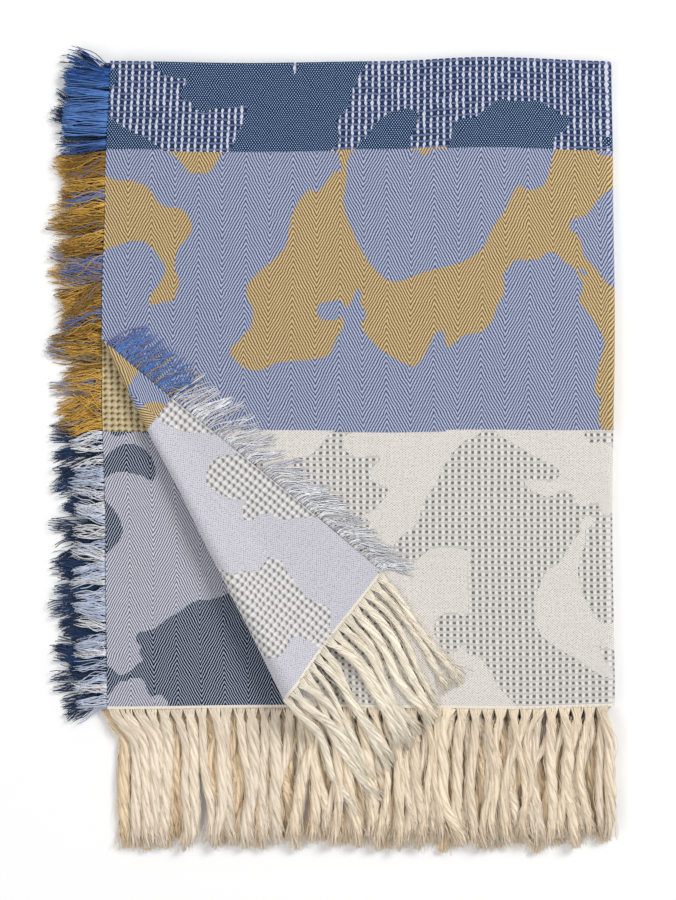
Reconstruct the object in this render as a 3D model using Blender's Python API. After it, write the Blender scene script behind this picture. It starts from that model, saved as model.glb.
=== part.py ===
"""A woven throw blanket folded in four and lying flat, its front left corner turned back.

Lengths are in metres. The cloth is laid out flat first: u runs across it from the left edge, v runs up it
from the front edge and w is the distance above its middle. Each point is then carried through the turned
corner, the fold at the back, the fold at the right and the settling of the pile.
"""
import math
import random

import bmesh
import bpy
from mathutils import Vector

# Flat cloth
CLOTH_WIDTH = 1.184
CLOTH_LENGTH = 1.5012
CLOTH_THICKNESS = 0.0024

# Pile of four layers, by the height of the middle of the cloth
TOP_LAYER_HEIGHT = 0.0150
BACK_FOLD_LINE = 0.7455
BACK_FOLD_RADIUS = 0.0023
RIGHT_FOLD_LINE = 0.5805
RIGHT_FOLD_RADIUS = 0.0046
BACK_FOLD_HEIGHT = TOP_LAYER_HEIGHT - BACK_FOLD_RADIUS
RIGHT_FOLD_HEIGHT = 0.0081

# Turned corner: its outer line runs from the left edge to the front edge
TURN_LEFT = Vector((0.002, 0.426))
TURN_FRONT = Vector((0.210, 0.0))
ROLL_RADIUS_LEFT = 0.0032
ROLL_RADIUS_FRONT = 0.0160
ROLL_BEYOND = 0.05
FLAP_SETTLE_ANGLE = math.radians(35)
FLAP_REST = 0.0036

# Fringe: lengths, locks and the narrow strip that each lock grows from
STRIP_GAP = 0.0008
STRIP_WIDTH = 0.0050
END_FRINGE_LENGTH = 0.164
SIDE_FRINGE_LENGTHS = {"corner": 0.050, "top": 0.050, "second": 0.054, "third": 0.060, "bottom": 0.058}
END_LOCK_PITCH = 0.0145
SIDE_LOCK_PITCH = 0.026
END_LOCK_WIDTH = 0.0088
SIDE_LOCK_WIDTH = 0.0120
END_DROP = 0.060
SIDE_DROP = 0.042
REST_HEIGHTS = {"top": 0.0099, "second": 0.0070, "third": 0.0041, "bottom": 0.0012}

# Locks near a corner of the pile: the long ones draw in from the side, the short ones turn outward
END_CORNER_REACH = 0.100
END_CORNER_SHIFT = 0.018
END_CORNER_SHARE = 0.25
SIDE_CORNER_REACH = 0.045
SIDE_CORNER_LEAN = 0.45

# Locks of the turned corner sweep round as they come down
CHANCE_LEAN = 0.03
CHANCE_CURL = 0.03
FLAP_END_SWING = -0.34
FLAP_SIDE_SWING = -1.10
FLAP_SIDE_SWING_START = 0.44
FLAP_SIDE_SWING_SPAN = 0.30
SWING_SHARE = 0.45
LAID_DOWN_SHARE = 0.55
SHORTEST_LOCK = 0.94
STRETCH_MARGIN = 0.002

# Lock outline: steps of its middle line, and its width and thickness at some of them
PATH_STEPS = 12
END_RINGS = (
    {"step": 2, "wide": 0.90, "thick": 1.0},
    {"step": 5, "wide": 0.88, "thick": 1.0},
    {"step": 9, "wide": 1.05, "thick": 1.0},
    {"step": 12, "wide": 0.95, "thick": 0.7},
)
SIDE_RINGS = (
    {"step": 3, "wide": 0.90, "thick": 1.0},
    {"step": 7, "wide": 1.00, "thick": 1.0},
    {"step": 12, "wide": 0.86, "thick": 0.7},
)

# Cuts across the cloth that let it bend
PANEL_CUTS = 10
LENGTH_CUTS = 13
BACK_FOLD_CUTS = 6
RIGHT_FOLD_CUTS = 8
ROLL_CUTS = 11
SETTLE_CUTS = 4
CUT_TOLERANCE = 0.00002
SMOOTH_ANGLE = math.radians(50)

# Soft waves of the upper layers: height, waves per metre across and along, and phase
FULL_SHARE_HEIGHT = TOP_LAYER_HEIGHT - CLOTH_THICKNESS
WAVES = (
    {"height": 0.0009, "across": 1.10, "along": 1.60, "phase": 0.4},
    {"height": 0.0007, "across": -2.10, "along": 1.20, "phase": 2.1},
    {"height": 0.0005, "across": 2.60, "along": 2.40, "phase": 4.0},
)

# Uneven outline: how far each edge of the pile lies outside a true rectangle, at places along it
LEFT_EDGE = (
    {"place": -0.10, "out": -0.001},
    {"place": 0.00, "out": -0.001},
    {"place": 0.20, "out": 0.001},
    {"place": 0.36, "out": 0.005},
    {"place": 0.46, "out": 0.005},
    {"place": 0.60, "out": 0.001},
    {"place": 0.75, "out": -0.005},
)
RIGHT_EDGE = (
    {"place": 0.00, "out": 0.002},
    {"place": 0.22, "out": -0.001},
    {"place": 0.45, "out": 0.002},
    {"place": 0.62, "out": 0.000},
    {"place": 0.75, "out": -0.002},
)
BACK_EDGE = (
    {"place": 0.00, "out": -0.001},
    {"place": 0.16, "out": -0.003},
    {"place": 0.32, "out": -0.001},
    {"place": 0.44, "out": 0.004},
    {"place": 0.60, "out": -0.001},
)
FRONT_EDGE = (
    {"place": 0.00, "out": 0.001},
    {"place": 0.20, "out": -0.001},
    {"place": 0.33, "out": 0.002},
    {"place": 0.48, "out": 0.003},
    {"place": 0.60, "out": 0.000},
)

TURN_LINE = TURN_FRONT - TURN_LEFT
TURN_LENGTH = TURN_LINE.length
TURN_ALONG = TURN_LINE.normalized()
TURN_OUT = Vector((TURN_ALONG.y, -TURN_ALONG.x))
ROLL_GROWTH = (ROLL_RADIUS_FRONT - ROLL_RADIUS_LEFT) / TURN_LENGTH
ROLL_TURN = math.pi + FLAP_SETTLE_ANGLE
SETTLE_GAIN = (1 + math.cos(FLAP_SETTLE_ANGLE)) / (1 - math.cos(FLAP_SETTLE_ANGLE))
SETTLE_LOSS = FLAP_REST / (1 - math.cos(FLAP_SETTLE_ANGLE))


def eased(value):
    """Rises from 0 to 1 with level ends as the value does."""
    value = min(max(value, 0.0), 1.0)
    return value * value * (3 - 2 * value)


def outward(edge, place):
    """How far the edge lies outside its straight line here, eased between the rows of its table."""
    if place <= edge[0]["place"]:
        return edge[0]["out"]
    for start, end in zip(edge, edge[1:]):
        if place <= end["place"]:
            share = eased((place - start["place"]) / (end["place"] - start["place"]))
            return start["out"] + (end["out"] - start["out"]) * share
    return edge[-1]["out"]


def roll_radius(along):
    """Radius of the roll here: it widens from the left edge to the front edge, and a little beyond both."""
    return ROLL_RADIUS_LEFT + ROLL_GROWTH * min(max(along, -ROLL_BEYOND), TURN_LENGTH + ROLL_BEYOND)


def turn_corner(u, v, w):
    """Carries the front left corner up, round a loose roll and down on to the cloth."""
    offset = Vector((u, v)) - TURN_LEFT
    along = offset.dot(TURN_ALONG)
    radius = roll_radius(along)
    past = offset.dot(TURN_OUT) + radius
    if past <= 0:
        return u, v, w
    if past <= radius * ROLL_TURN:
        angle = past / radius
        out = radius * math.sin(angle)
        up = radius * (1 - math.cos(angle))
    else:
        past -= radius * ROLL_TURN
        settle = radius * SETTLE_GAIN - SETTLE_LOSS
        angle = max(ROLL_TURN - past / settle, math.pi)
        out = -radius * math.sin(FLAP_SETTLE_ANGLE)
        out -= settle * (math.sin(angle) - math.sin(ROLL_TURN))
        out -= max(past - settle * FLAP_SETTLE_ANGLE, 0)
        up = radius * (1 - math.cos(ROLL_TURN))
        up += settle * (math.cos(angle) - math.cos(ROLL_TURN))
    out -= w * math.sin(angle)
    up += w * math.cos(angle)
    place = TURN_LEFT + TURN_ALONG * along + TURN_OUT * (out - radius)
    return place.x, place.y, up


def fold(place, height, line, axis_height, radius):
    """Bends what lies past the line down round a level axis and back under itself."""
    past = place - line
    if past <= 0:
        return place, height
    reach = height - axis_height
    angle = past / radius
    if angle >= math.pi:
        return line - (past - math.pi * radius), axis_height - reach
    return line + reach * math.sin(angle), axis_height + reach * math.cos(angle)


def wave(x, y):
    """How far the topmost layer is lifted here."""
    lift = 0
    for row in WAVES:
        turn = math.tau * (row["across"] * x + row["along"] * y) + row["phase"]
        lift += row["height"] * (1 + math.sin(turn))
    return lift


def settle(x, y, z):
    """Lifts the upper layers in soft waves and makes the outline uneven."""
    lift = wave(x, y) * eased((z - CLOTH_THICKNESS) / FULL_SHARE_HEIGHT)
    right = min(max(x / RIGHT_FOLD_LINE, 0), 1)
    back = min(max(y / BACK_FOLD_LINE, 0), 1)
    shift_x = outward(RIGHT_EDGE, y) * right - outward(LEFT_EDGE, y) * (1 - right)
    shift_y = outward(BACK_EDGE, x) * back - outward(FRONT_EDGE, x) * (1 - back)
    return Vector((x + shift_x, y + shift_y, z + lift))


def lay(u, v, w):
    """The place in the pile of a point of the flat cloth."""
    x, y, rise = turn_corner(u, v, w)
    y, z = fold(y, TOP_LAYER_HEIGHT + rise, BACK_FOLD_LINE, BACK_FOLD_HEIGHT, BACK_FOLD_RADIUS)
    x, z = fold(x, z, RIGHT_FOLD_LINE, RIGHT_FOLD_HEIGHT, RIGHT_FOLD_RADIUS)
    return settle(x, y, z)


def roll_crease(turned, settled):
    """Point and direction across of the flat line that has gone this far round the roll and the slope."""
    start = ROLL_RADIUS_LEFT * (1 - turned) - settled * (ROLL_RADIUS_LEFT * SETTLE_GAIN - SETTLE_LOSS)
    growth = ROLL_GROWTH * (1 - turned) - settled * ROLL_GROWTH * SETTLE_GAIN
    across = TURN_OUT + TURN_ALONG * growth
    point = TURN_LEFT - across * (start / across.length_squared)
    return Vector((point.x, point.y, 0)), Vector((across.x, across.y, 0))


def roll_creases(with_slope):
    """The flat lines along which the cloth bends round the roll, and down the slope behind it if asked."""
    creases = [roll_crease(ROLL_TURN * step / ROLL_CUTS, 0) for step in range(ROLL_CUTS + 1)]
    if with_slope:
        for step in range(1, SETTLE_CUTS + 1):
            creases.append(roll_crease(ROLL_TURN, FLAP_SETTLE_ANGLE * step / SETTLE_CUTS))
    return creases


def fold_lines(line, radius, cuts):
    """Flat lines along which the cloth bends round a fold."""
    return [line + math.pi * radius * step / cuts for step in range(cuts + 1)]


def even_lines(start, end, cuts):
    """Flat lines that divide a panel evenly."""
    return [start + (end - start) * step / cuts for step in range(1, cuts)]


def slab(low, high, u_lines, v_lines, creases):
    """A flat slab of cloth, cut along these lines so that it can bend there."""
    mesh = bmesh.new()
    bmesh.ops.create_cube(mesh, size=1)
    size = Vector((high[0] - low[0], high[1] - low[1], CLOTH_THICKNESS))
    centre = Vector(((high[0] + low[0]) / 2, (high[1] + low[1]) / 2, 0))
    bmesh.ops.scale(mesh, vec=size, verts=mesh.verts)
    bmesh.ops.translate(mesh, vec=centre, verts=mesh.verts)
    planes = [(Vector((line, 0, 0)), Vector((1, 0, 0))) for line in u_lines]
    planes += [(Vector((0, line, 0)), Vector((0, 1, 0))) for line in v_lines]
    for point, across in planes + creases:
        bmesh.ops.bisect_plane(
            mesh,
            geom=mesh.verts[:] + mesh.edges[:] + mesh.faces[:],
            dist=CUT_TOLERANCE,
            plane_co=point,
            plane_no=across.normalized(),
        )
    return mesh


def finish(mesh, name, colour):
    """Turns the mesh into a named object with its own material."""
    bmesh.ops.triangulate(mesh, faces=[face for face in mesh.faces if len(face.verts) > 4])
    bmesh.ops.recalc_face_normals(mesh, faces=mesh.faces)
    data = bpy.data.meshes.new(name)
    mesh.to_mesh(data)
    mesh.free()
    data.shade_smooth()
    data.set_sharp_from_angle(angle=SMOOTH_ANGLE)
    material = bpy.data.materials.new(name)
    material.use_nodes = True
    shader = material.node_tree.nodes["Principled BSDF"]
    shader.inputs["Base Color"].default_value = (*colour, 1)
    shader.inputs["Roughness"].default_value = 0.9
    shader.inputs["Metallic"].default_value = 0
    data.materials.append(material)
    piece = bpy.data.objects.new(name, data)
    bpy.context.scene.collection.objects.link(piece)
    return piece


# Cloth: one sheet, folded and with its corner turned
def make_cloth():
    right_end = RIGHT_FOLD_LINE + math.pi * RIGHT_FOLD_RADIUS
    back_end = BACK_FOLD_LINE + math.pi * BACK_FOLD_RADIUS
    u_lines = even_lines(0, RIGHT_FOLD_LINE, PANEL_CUTS) + even_lines(right_end, CLOTH_WIDTH, PANEL_CUTS)
    u_lines += fold_lines(RIGHT_FOLD_LINE, RIGHT_FOLD_RADIUS, RIGHT_FOLD_CUTS)
    v_lines = even_lines(0, BACK_FOLD_LINE, LENGTH_CUTS) + even_lines(back_end, CLOTH_LENGTH, LENGTH_CUTS)
    v_lines += fold_lines(BACK_FOLD_LINE, BACK_FOLD_RADIUS, BACK_FOLD_CUTS)
    mesh = slab((0, 0), (CLOTH_WIDTH, CLOTH_LENGTH), u_lines, v_lines, roll_creases(True))
    for vert in mesh.verts:
        vert.co = lay(*vert.co)
    return finish(mesh, "throw_cloth", (0.78, 0.72, 0.60))


# Fringes: along each edge a narrow strip with its locks, standing a little off the cloth
def on_edge(edge, along, out):
    """Flat place this far along the edge and this far out from it."""
    return {
        "front": (along, -out),
        "back": (along, CLOTH_LENGTH + out),
        "left": (-out, along),
        "right": (CLOTH_WIDTH + out, along),
    }[edge]


def bent_stretches(edge):
    """Stretches of the edge that go round a fold or the roll and carry no locks."""
    if edge in ("front", "back"):
        stretches = [(RIGHT_FOLD_LINE, RIGHT_FOLD_LINE + math.pi * RIGHT_FOLD_RADIUS)]
    else:
        stretches = [(BACK_FOLD_LINE, BACK_FOLD_LINE + math.pi * BACK_FOLD_RADIUS)]
    if edge in ("front", "left"):
        ends = []
        for turned in (0, ROLL_TURN):
            point, across = roll_crease(turned, 0)
            if edge == "front":
                ends.append(point.x + point.y * across.y / across.x)
            else:
                ends.append(point.y + point.x * across.x / across.y)
        stretches.append((min(ends), max(ends)))
    return stretches


def over_cloth(place):
    """Height at which a lock of the turned corner lies on the cloth and on the locks beyond its edge."""
    beyond = eased((-place.y - STRIP_WIDTH) / END_DROP)
    ground = TOP_LAYER_HEIGHT + wave(place.x, place.y)
    return ground + (REST_HEIGHTS["top"] - ground) * beyond + FLAP_REST


def corner_lean(root):
    """How far a short lock near a corner of the pile turns away from straight out."""
    front = eased((SIDE_CORNER_REACH - root.y) / SIDE_CORNER_REACH)
    back = eased((root.y - BACK_FOLD_LINE + SIDE_CORNER_REACH) / SIDE_CORNER_REACH)
    return SIDE_CORNER_LEAN * (front - back)


def lock_path(edge, layer, root, out, length, chance):
    """Middle points of a lock from its root to its tip."""
    lean = chance.uniform(-CHANCE_LEAN, CHANCE_LEAN)
    curl = chance.uniform(-CHANCE_CURL, CHANCE_CURL)
    shift = 0
    if layer == "corner":
        heading = math.atan2(out.y, out.x)
        swing = FLAP_END_SWING
        if edge == "left":
            swung = (FLAP_SIDE_SWING_START - root.y) / FLAP_SIDE_SWING_SPAN
            swing = FLAP_SIDE_SWING * min(max(swung, 0), 1)
    else:
        if edge in ("front", "back"):
            shift = END_CORNER_SHIFT * eased((END_CORNER_REACH - root.x) / END_CORNER_REACH)
        else:
            lean += corner_lean(root)
        heading = -math.pi / 2 if edge in ("front", "back") else math.pi
        swing = 0
    drop = END_DROP if edge in ("front", "back") else SIDE_DROP
    places = [root]
    lift = root.z - over_cloth(root)
    reached = 0
    for step in range(1, PATH_STEPS + 1):
        share = step / PATH_STEPS
        angle = heading + lean * eased(2 * share) + curl * math.sin(math.pi * share)
        angle += swing * eased(share / SWING_SHARE)
        place = places[-1] + Vector((math.cos(angle), math.sin(angle), 0)) * (length / PATH_STEPS)
        place.x += shift * eased(share / END_CORNER_SHARE) - reached
        reached = shift * eased(share / END_CORNER_SHARE)
        if layer == "corner":
            place.z = over_cloth(place) + lift * (1 - eased(share / LAID_DOWN_SHARE))
        else:
            place.z = root.z + (REST_HEIGHTS[layer] - root.z) * eased(share * length / drop)
        places.append(place)
    return places


def layer_of(edge, along, stretches):
    """Which layer of the pile the edge belongs to at this place."""
    if edge in ("front", "left") and along < stretches[-1][0]:
        return "corner"
    layers = {
        "front": ("top", "bottom"),
        "back": ("second", "third"),
        "left": ("top", "second"),
        "right": ("bottom", "third"),
    }
    return layers[edge][along > stretches[0][0]]


def lock_middles(edge, span, pitch, half):
    """Places along the edge where its locks grow, clear of the stretches that bend."""
    clear = half + STRETCH_MARGIN
    stretches = bent_stretches(edge)
    count = int(span / pitch)
    middles = [(number + 0.5) * span / count for number in range(count)]
    return [
        middle
        for middle in middles
        if not any(start - clear <= middle <= end + clear for start, end in stretches)
    ]


def root_faces(mesh, edge, middles, half):
    """For each lock the face of the strip that it grows from, with the places of its corners."""
    axis = 0 if edge in ("front", "back") else 1
    outer = STRIP_GAP + STRIP_WIDTH
    found = []
    for face in mesh.faces:
        centre = face.calc_center_median()
        expected = on_edge(edge, centre[axis], outer)
        if abs(centre.x - expected[0]) + abs(centre.y - expected[1]) > CLOTH_THICKNESS / 10:
            continue
        for middle in middles:
            if abs(centre[axis] - middle) < half / 10:
                corners = [((vert.co[axis] - middle) / half, vert.co.z) for vert in face.verts]
                found.append((middle, face, corners))
    return sorted(found, key=lambda row: row[0])


def make_fringe(name, edge, colour, seed):
    """A strip along the edge, bent with the cloth, with a lock drawn out of it at each place."""
    chance = random.Random(seed)
    is_end = edge in ("front", "back")
    span = CLOTH_WIDTH if is_end else CLOTH_LENGTH
    half = (END_LOCK_WIDTH if is_end else SIDE_LOCK_WIDTH) / 2
    outer = STRIP_GAP + STRIP_WIDTH
    middles = lock_middles(edge, span, END_LOCK_PITCH if is_end else SIDE_LOCK_PITCH, half)
    cuts = [middle + side * half for middle in middles for side in (-1, 1)]
    if is_end:
        cuts += fold_lines(RIGHT_FOLD_LINE, RIGHT_FOLD_RADIUS, RIGHT_FOLD_CUTS)
    else:
        cuts += fold_lines(BACK_FOLD_LINE, BACK_FOLD_RADIUS, BACK_FOLD_CUTS)
    near = on_edge(edge, 0, STRIP_GAP)
    far = on_edge(edge, span, outer)
    low = (min(near[0], far[0]), min(near[1], far[1]))
    high = (max(near[0], far[0]), max(near[1], far[1]))
    creases = roll_creases(False) if edge in ("front", "left") else []
    mesh = slab(low, high, cuts if is_end else [], [] if is_end else cuts, creases)
    roots = root_faces(mesh, edge, middles, half)
    for vert in mesh.verts:
        vert.co = lay(*vert.co)
    for middle, face, corners in roots:
        root = face.calc_center_median()
        out = lay(*on_edge(edge, middle, outer + CLOTH_THICKNESS), 0)
        out -= lay(*on_edge(edge, middle, outer), 0)
        across = lay(*on_edge(edge, middle + half, outer), 0)
        across -= lay(*on_edge(edge, middle - half, outer), 0)
        layer = layer_of(edge, middle, bent_stretches(edge))
        longest = END_FRINGE_LENGTH if is_end else SIDE_FRINGE_LENGTHS[layer]
        length = longest * chance.uniform(SHORTEST_LOCK, 1)
        places = lock_path(edge, layer, root, out, length, chance)
        turned = 1 if Vector((-out.y, out.x, 0)).dot(across) > 0 else -1
        upward = 1 if lay(*on_edge(edge, middle, outer), CLOTH_THICKNESS / 2).z > root.z else -1
        for ring in END_RINGS if is_end else SIDE_RINGS:
            step = ring["step"]
            ahead = places[min(step + 1, PATH_STEPS)] - places[step - 1]
            sideways = Vector((-ahead.y, ahead.x, 0)).normalized() * turned
            face = bmesh.ops.extrude_discrete_faces(mesh, faces=[face])["faces"][0]
            for vert, (side, rise) in zip(face.verts, corners):
                vert.co = places[step] + sideways * (side * half * ring["wide"])
                vert.co.z += upward * rise * ring["thick"] - CLOTH_THICKNESS / 2 * (1 - ring["thick"])
    return finish(mesh, name, colour)


# The part: clear the scene, make each piece, and stand the pile centred on the origin
for item in list(bpy.data.objects):
    bpy.data.objects.remove(item, do_unlink=True)

pieces = [
    make_cloth(),
    make_fringe("end_fringe_front", "front", (0.86, 0.80, 0.68), 11),
    make_fringe("end_fringe_back", "back", (0.84, 0.78, 0.66), 12),
    make_fringe("side_fringe_left", "left", (0.45, 0.45, 0.62), 13),
    make_fringe("side_fringe_right", "right", (0.30, 0.32, 0.50), 14),
]
lows = [min(vert.co[axis] for piece in pieces for vert in piece.data.vertices) for axis in range(2)]
highs = [max(vert.co[axis] for piece in pieces for vert in piece.data.vertices) for axis in range(2)]
for piece in pieces:
    for vert in piece.data.vertices:
        vert.co.x -= (lows[0] + highs[0]) / 2
        vert.co.y -= (lows[1] + highs[1]) / 2
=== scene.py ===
"""A woven throw blanket folded in quarters, lying flat with its top front left corner turned back.

Lengths are in metres. The throw is laid out flat first: u runs across it from the left edge, v runs up it
from the front edge and w is the height above the middle of the cloth. The fold functions below then carry
every point of the cloth and every yarn root into the folded pile.
"""

import math

import bmesh
import bpy
import numpy as np
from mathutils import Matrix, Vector


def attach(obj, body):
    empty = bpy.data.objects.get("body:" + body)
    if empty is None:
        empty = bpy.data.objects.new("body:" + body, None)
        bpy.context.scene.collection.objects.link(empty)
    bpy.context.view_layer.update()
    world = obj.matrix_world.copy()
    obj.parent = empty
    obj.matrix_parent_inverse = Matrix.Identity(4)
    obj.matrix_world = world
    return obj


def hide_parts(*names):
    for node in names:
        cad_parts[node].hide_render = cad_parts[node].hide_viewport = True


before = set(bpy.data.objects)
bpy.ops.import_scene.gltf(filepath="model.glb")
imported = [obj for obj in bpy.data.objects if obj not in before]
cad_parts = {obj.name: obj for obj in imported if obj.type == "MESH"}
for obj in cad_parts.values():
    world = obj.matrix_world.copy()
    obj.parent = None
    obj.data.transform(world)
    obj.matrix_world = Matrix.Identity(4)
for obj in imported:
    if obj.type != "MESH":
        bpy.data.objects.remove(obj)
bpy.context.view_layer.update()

# The throw's cloth. One piece of double weave, its two faces in opposite colours, woven in five broad bands
# and folded once away from the viewer and once to the right, so that four layers lie on each other.
# Its front left corner is lifted and rolled loosely over on to the top layer.

CLOTH_WIDTH = 1.184
CLOTH_LENGTH = 1.5012
CLOTH_THICKNESS = 0.0024
PILE_CENTRE = np.array((0.25569572, 0.28853240, 0.0))

TOP_LAYER_HEIGHT = 0.0150
BACK_FOLD_LINE = 0.7455
BACK_FOLD_RADIUS = 0.0023
RIGHT_FOLD_LINE = 0.5805
RIGHT_FOLD_RADIUS = 0.0046
BACK_FOLD_HEIGHT = TOP_LAYER_HEIGHT - BACK_FOLD_RADIUS
RIGHT_FOLD_HEIGHT = 0.0081

TURN_LEFT = np.array((0.002, 0.426))
TURN_FRONT = np.array((0.210, 0.0))
TURN_LENGTH = np.linalg.norm(TURN_FRONT - TURN_LEFT)
TURN_ALONG = (TURN_FRONT - TURN_LEFT) / TURN_LENGTH
TURN_OUT = np.array((TURN_ALONG[1], -TURN_ALONG[0]))
ROLL_RADIUS_LEFT = 0.0032
ROLL_RADIUS_FRONT = 0.0160
ROLL_GROWTH = (ROLL_RADIUS_FRONT - ROLL_RADIUS_LEFT) / TURN_LENGTH
FLAP_SETTLE_ANGLE = math.radians(35)
FLAP_REST = 0.0036
ROLL_TURN = math.pi + FLAP_SETTLE_ANGLE
SETTLE_GAIN = (1 + math.cos(FLAP_SETTLE_ANGLE)) / (1 - math.cos(FLAP_SETTLE_ANGLE))
SETTLE_LOSS = FLAP_REST / (1 - math.cos(FLAP_SETTLE_ANGLE))

# Spacing of the sheet's mesh lines on the top layer, round the folds and in the layers under them
TOP_STEP = 0.008
RIGHT_FOLD_STEP = 0.0012
RIGHT_UNDER_STEP = 0.016
BACK_FOLD_STEP = 0.0008
BACK_UNDER_STEP = 0.012
ROLL_CREASES = 26
SLOPE_CREASES = 8
CREASE_TOLERANCE = 0.00005
SHARP_ANGLE = math.radians(60)

# Slow waves of the top layer, as turns to a metre each way
WAVES = (
    {"height": 0.0009, "across": 1.10, "along": 1.60, "phase": 0.4},
    {"height": 0.0007, "across": -2.10, "along": 1.20, "phase": 2.1},
    {"height": 0.0005, "across": 2.60, "along": 2.40, "phase": 4.0},
)
# Height of the cloth's slow and quick ripples, and how far from a fold they have their full height
SLOW_RIPPLE = 0.00045
QUICK_RIPPLE = 0.00018
RIPPLE_FADE = 0.03
# How far each edge of the pile lies outside a true rectangle, at places along it
LEFT_EDGE = (
    {"place": -0.10, "out": -0.001},
    {"place": 0.00, "out": -0.001},
    {"place": 0.20, "out": 0.001},
    {"place": 0.36, "out": 0.005},
    {"place": 0.46, "out": 0.005},
    {"place": 0.60, "out": 0.001},
    {"place": 0.75, "out": -0.005},
)
RIGHT_EDGE = (
    {"place": 0.00, "out": 0.002},
    {"place": 0.22, "out": -0.001},
    {"place": 0.45, "out": 0.002},
    {"place": 0.62, "out": 0.000},
    {"place": 0.75, "out": -0.002},
)
BACK_EDGE = (
    {"place": 0.00, "out": -0.001},
    {"place": 0.16, "out": -0.003},
    {"place": 0.32, "out": -0.001},
    {"place": 0.44, "out": 0.004},
    {"place": 0.60, "out": -0.001},
)
FRONT_EDGE = (
    {"place": 0.00, "out": 0.001},
    {"place": 0.20, "out": -0.001},
    {"place": 0.33, "out": 0.002},
    {"place": 0.48, "out": 0.003},
    {"place": 0.60, "out": 0.000},
)


def eased(value):
    """Rises from 0 to 1 with level ends as the value does."""
    value = np.clip(value, 0, 1)
    return value * value * (3 - 2 * value)


def outward(edge, place):
    """How far the edge lies outside its straight line here, eased between the rows of its table."""
    starts = np.array([row["place"] for row in edge])
    values = np.array([row["out"] for row in edge])
    index = np.clip(np.searchsorted(starts, place) - 1, 0, len(edge) - 2)
    share = eased((place - starts[index]) / (starts[index + 1] - starts[index]))
    return values[index] + (values[index + 1] - values[index]) * share


def past_turn(u, v):
    """How far past the start of the roll these flat places are, and the roll's radius there."""
    across = u - TURN_LEFT[0]
    up = v - TURN_LEFT[1]
    along = across * TURN_ALONG[0] + up * TURN_ALONG[1]
    radius = ROLL_RADIUS_LEFT + ROLL_GROWTH * np.clip(along, -0.05, TURN_LENGTH + 0.05)
    return across * TURN_OUT[0] + up * TURN_OUT[1] + radius, radius, along


def turn_corner(u, v, w):
    """Carries the front left corner up, round a loose roll and down on to the cloth."""
    past, radius, along = past_turn(u, v)
    settle = radius * SETTLE_GAIN - SETTLE_LOSS
    rolled = np.clip(past / radius, 0, ROLL_TURN)
    sloped = np.clip((past - radius * ROLL_TURN) / settle, 0, FLAP_SETTLE_ANGLE)
    level = np.maximum(past - radius * ROLL_TURN - settle * FLAP_SETTLE_ANGLE, 0)
    angle = rolled - sloped
    out = radius * np.sin(rolled) - settle * (np.sin(angle) - np.sin(rolled)) - level
    rise = radius * (1 - np.cos(rolled)) + settle * (np.cos(angle) - np.cos(rolled))
    out = np.where(sloped > 0, out, radius * np.sin(rolled))
    rise = np.where(sloped > 0, rise, radius * (1 - np.cos(rolled)))
    out = out - w * np.sin(angle)
    rise = rise + w * np.cos(angle)
    turned = past > 0
    x = TURN_LEFT[0] + TURN_ALONG[0] * along + TURN_OUT[0] * (out - radius)
    y = TURN_LEFT[1] + TURN_ALONG[1] * along + TURN_OUT[1] * (out - radius)
    return np.where(turned, x, u), np.where(turned, y, v), np.where(turned, rise, w)


def fold(place, height, line, axis_height, radius):
    """Bends what lies past the line down round a level axis and back under itself."""
    past = place - line
    reach = height - axis_height
    angle = np.clip(past / radius, 0, math.pi)
    beyond = np.maximum(past - math.pi * radius, 0)
    bent_place = line + reach * np.sin(angle) - beyond
    bent_height = axis_height + reach * np.cos(angle)
    return np.where(past > 0, bent_place, place), np.where(past > 0, bent_height, height)


def wave(x, y):
    """How far the topmost layer is lifted at these places."""
    return sum(
        row["height"] * (1 + np.sin(math.tau * (row["across"] * x + row["along"] * y) + row["phase"]))
        for row in WAVES
    )


def lay(u, v, w):
    """The places in the pile of these points of the flat cloth."""
    x, y, rise = turn_corner(u, v, w)
    y, z = fold(y, TOP_LAYER_HEIGHT + rise, BACK_FOLD_LINE, BACK_FOLD_HEIGHT, BACK_FOLD_RADIUS)
    x, z = fold(x, z, RIGHT_FOLD_LINE, RIGHT_FOLD_HEIGHT, RIGHT_FOLD_RADIUS)
    lift = wave(x, y) * eased((z - CLOTH_THICKNESS) / (TOP_LAYER_HEIGHT - CLOTH_THICKNESS))
    right = np.clip(x / RIGHT_FOLD_LINE, 0, 1)
    back = np.clip(y / BACK_FOLD_LINE, 0, 1)
    shift_x = outward(RIGHT_EDGE, y) * right - outward(LEFT_EDGE, y) * (1 - right)
    shift_y = outward(BACK_EDGE, x) * back - outward(FRONT_EDGE, x) * (1 - back)
    return np.stack((x + shift_x, y + shift_y, z + lift), axis=-1)


def ripple(u, v):
    """Small unevenness of the two upper layers, as the different weaves draw in by different amounts."""
    slow = np.sin(u * 61 + 1.3 * np.sin(v * 23)) * np.sin(v * 47 + 1.1 * np.sin(u * 31 + 2))
    quick = np.sin(u * 133 + 2.0 * np.sin(v * 71 + 1)) * np.sin(v * 118 + 1.7 * np.sin(u * 83))
    upper = eased((RIGHT_FOLD_LINE - u) / RIPPLE_FADE) * eased(abs(v - BACK_FOLD_LINE) / RIPPLE_FADE)
    return upper * (SLOW_RIPPLE * slow + QUICK_RIPPLE * quick)


def roll_crease(turned, settled):
    """Point and direction across of the flat line that has gone this far round the roll and the slope."""
    start = ROLL_RADIUS_LEFT * (1 - turned) - settled * (ROLL_RADIUS_LEFT * SETTLE_GAIN - SETTLE_LOSS)
    growth = ROLL_GROWTH * (1 - turned) - settled * ROLL_GROWTH * SETTLE_GAIN
    across = TURN_OUT + TURN_ALONG * growth
    point = TURN_LEFT - across * start / across.dot(across)
    return Vector((*point, 0)), Vector((*across, 0)).normalized()


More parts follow.
